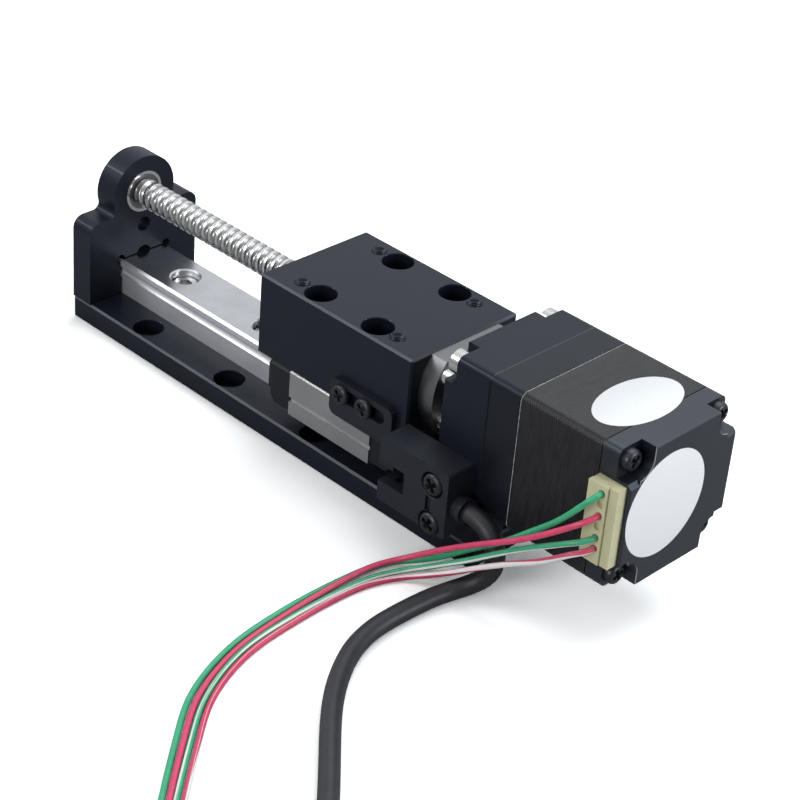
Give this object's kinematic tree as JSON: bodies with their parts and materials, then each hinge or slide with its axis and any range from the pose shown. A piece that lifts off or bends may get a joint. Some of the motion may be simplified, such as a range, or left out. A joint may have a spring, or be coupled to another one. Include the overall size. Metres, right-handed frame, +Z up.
{
  "type": "ball screw linear module",
  "caption": "Compact linear stage: a black carriage on a profiled guide rail, driven by a miniature ball screw from a square stepper motor, with a home sensor and its flag.",
  "frame": {"origin": "centre of the base plate's underside", "axes": "+X along the screw from the end block to the motor, +Y away from the sensor and the connector, +Z up, away from the mounting face"},
  "size_m": [0.2141, 0.1269, 0.041],
  "materials": {
    "anodised": "black anodised, fine bead-blasted",
    "rail_steel": "ground",
    "screw_steel": "rolled, lightly oiled",
    "nut_steel": "ground, oiled",
    "stainless": "bright stainless",
    "fastener": "black oxide",
    "bearing_steel": "polished",
    "cap_plastic": "moulded",
    "seal_rubber": "matte",
    "wiper_plastic": "smooth",
    "flag_steel": "black zinc sheet",
    "sensor_plastic": "moulded",
    "motor_paint": "black painted casting",
    "lamination": "black painted laminations",
    "copper": "enamelled copper",
    "ivory_plastic": "moulded nylon",
    "pin_tin": "tinned",
    "lead_green": "PVC",
    "lead_red": "PVC",
    "lead_green_white": "PVC with a white tracer",
    "lead_red_white": "PVC with a white tracer",
    "cable_jacket": "soft PVC"
  },
  "bodies": {
    "base": {"base_plate": "anodised", "end_block": "anodised", "motor_bracket": "anodised", "guide_rail": "rail_steel", "rail_screws": "stainless", "bracket_screws": "stainless", "foot_screws": "fastener", "sensor_screws": "fastener", "motor_screws": "fastener", "end_bearing_outer": "bearing_steel", "end_bearing_balls": "bearing_steel", "end_bearing_shields": "bearing_steel", "front_bearing_outer": "bearing_steel", "front_bearing_balls": "bearing_steel", "rear_bearing_outer": "bearing_steel", "rear_bearing_balls": "bearing_steel", "wave_washer": "bearing_steel", "home_sensor": "sensor_plastic", "sensor_gland": "sensor_plastic", "motor_front_cap": "motor_paint", "motor_rear_cap": "motor_paint", "stator_stack": "lamination", "stator_coils": "copper", "motor_header": "ivory_plastic", "lead_plug": "ivory_plastic", "header_pins": "pin_tin", "lead_green": "lead_green", "lead_red": "lead_red", "lead_green_white": "lead_green_white", "lead_red_white": "lead_red_white", "lead_coil": "lead_red_white", "sensor_cable": "cable_jacket", "sensor_cable_coil": "cable_jacket"},
    "carriage": {"carriage": "anodised", "carriage_screws": "fastener", "guide_block": "rail_steel", "guide_end_caps": "cap_plastic", "guide_seals": "seal_rubber", "guide_cap_screws": "fastener", "guide_balls": "bearing_steel", "ball_nut": "nut_steel", "nut_balls": "bearing_steel", "nut_wipers": "wiper_plastic", "nut_screws": "stainless", "sensor_flag": "flag_steel", "flag_screws": "fastener"},
    "screw": {"ball_screw": "screw_steel", "rotor": "lamination", "end_bearing_inner": "bearing_steel", "end_circlip": "fastener", "front_bearing_inner": "bearing_steel", "rear_bearing_inner": "bearing_steel"}
  },
  "joints": [
    {"name": "screw_spin", "type": "hinge", "parent": "base", "child": "screw", "pos_m": [0, 0, 0.027], "axis": [1, 0, 0], "range_deg": [-180, 8640]},
    {"name": "carriage_slide", "type": "slide", "parent": "base", "child": "carriage", "axis": [1, 0, 0], "range_m": [-0.048, 0.001]}
  ],
  "couplings": [
    {"joint": "carriage_slide", "follows": "screw_spin", "m_per_rad": -0.00031831}
  ]
}
